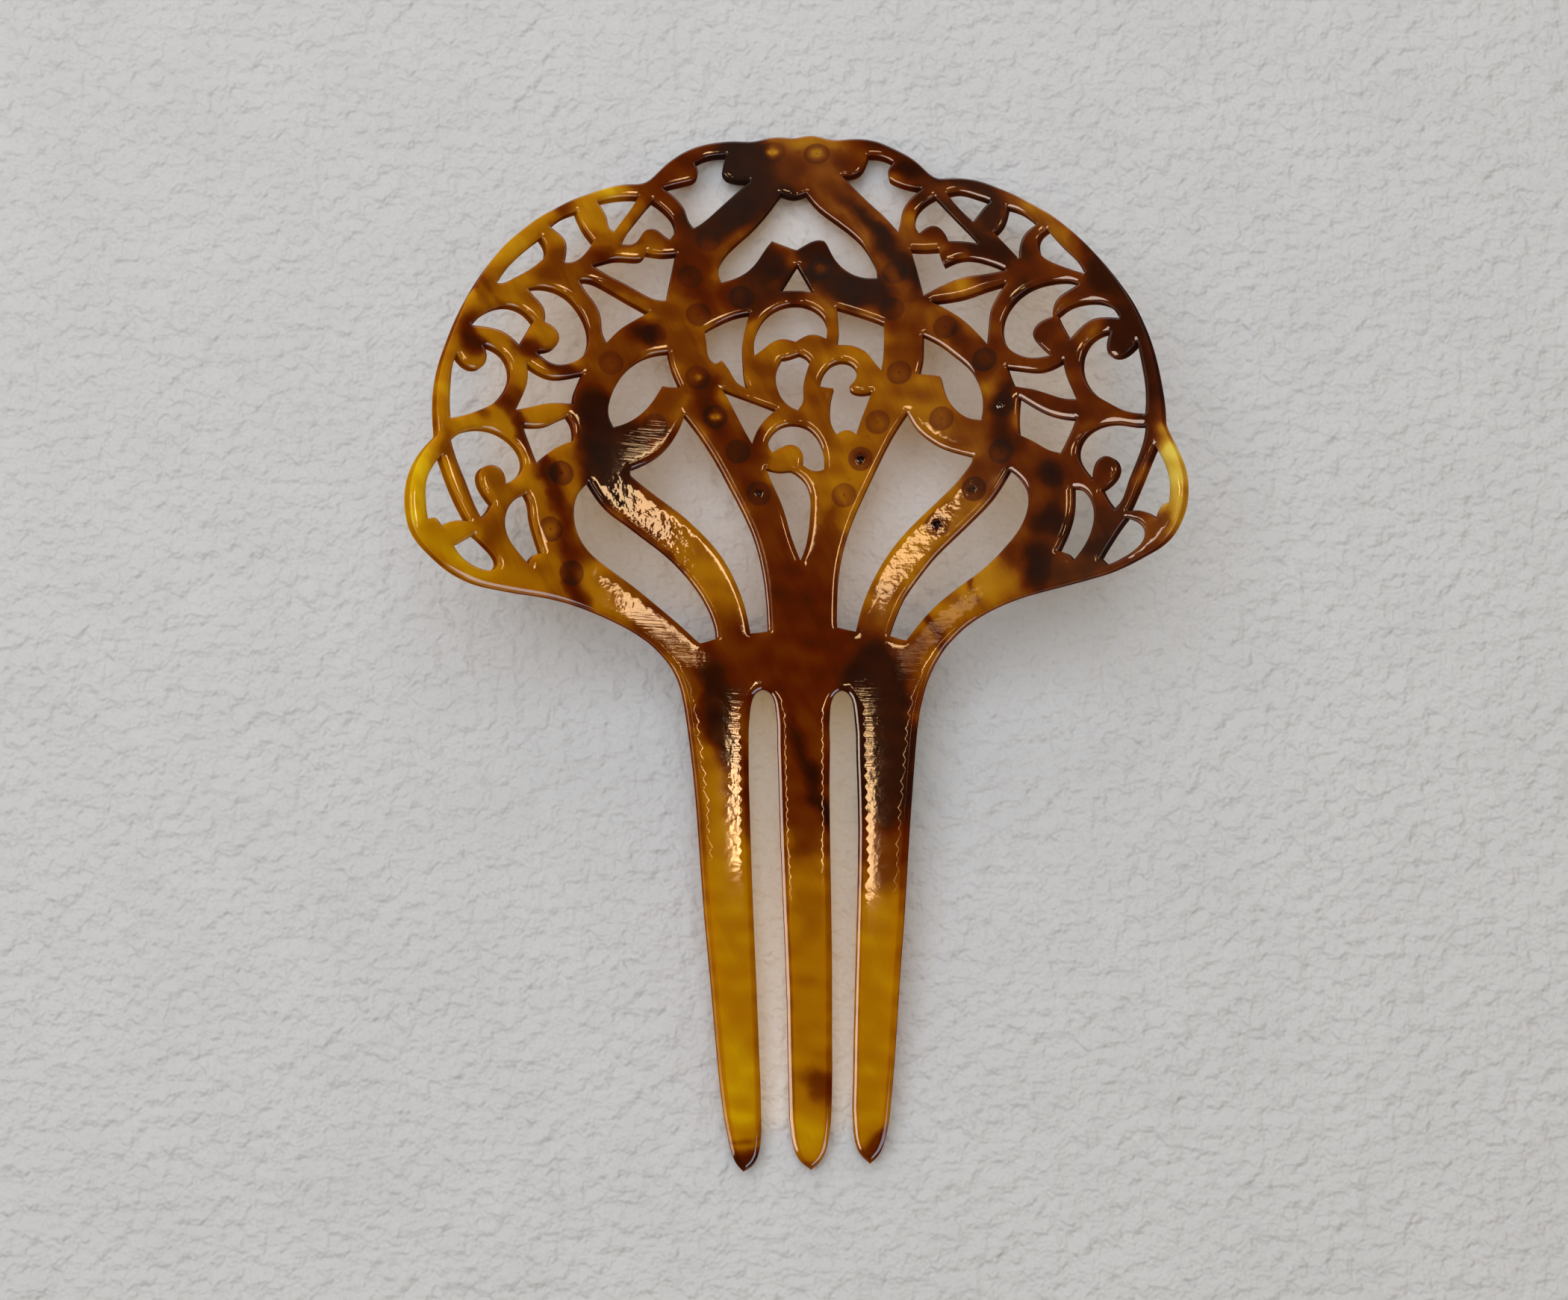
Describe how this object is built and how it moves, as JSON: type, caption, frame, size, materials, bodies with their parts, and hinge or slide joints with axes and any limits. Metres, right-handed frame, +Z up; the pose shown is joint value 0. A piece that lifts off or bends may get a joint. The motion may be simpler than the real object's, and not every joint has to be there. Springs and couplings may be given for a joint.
{
  "type": "mantilla comb",
  "caption": "Tall arched hair comb with a pierced scrollwork crest, set with small cut stones, on long tines, in mottled translucent plastic.",
  "frame": {"origin": "centre of the comb's footprint, on the surface that it lies on face down", "axes": "+Y along the comb from the tine tips to the top of the crest, +Z up out of the hollow back, +X across to the right as seen from the back"},
  "size_m": [0.1056, 0.1512, 0.0303],
  "materials": {
    "tortoiseshell_plastic": "polished translucent amber clouded with brown and near-black",
    "stone_glass": "clear cut glass with a silvered pavilion"
  },
  "bodies": {
    "root": {"comb": "tortoiseshell_plastic", "stone_01": "stone_glass", "stone_02": "stone_glass", "stone_03": "stone_glass", "stone_04": "stone_glass", "stone_05": "stone_glass", "stone_06": "stone_glass", "stone_07": "stone_glass", "stone_08": "stone_glass", "stone_09": "stone_glass", "stone_10": "stone_glass", "stone_11": "stone_glass", "stone_12": "stone_glass", "stone_13": "stone_glass", "stone_14": "stone_glass", "stone_15": "stone_glass", "stone_16": "stone_glass", "stone_17": "stone_glass", "stone_18": "stone_glass", "stone_19": "stone_glass", "stone_20": "stone_glass", "stone_21": "stone_glass", "stone_22": "stone_glass", "stone_23": "stone_glass", "stone_24": "stone_glass", "stone_25": "stone_glass", "stone_26": "stone_glass", "stone_27": "stone_glass", "stone_28": "stone_glass", "stone_29": "stone_glass", "stone_30": "stone_glass", "stone_31": "stone_glass", "stone_32": "stone_glass", "stone_33": "stone_glass", "stone_34": "stone_glass", "stone_35": "stone_glass", "stone_36": "stone_glass", "stone_37": "stone_glass", "stone_38": "stone_glass", "stone_39": "stone_glass", "stone_40": "stone_glass"}
  },
  "joints": []
}
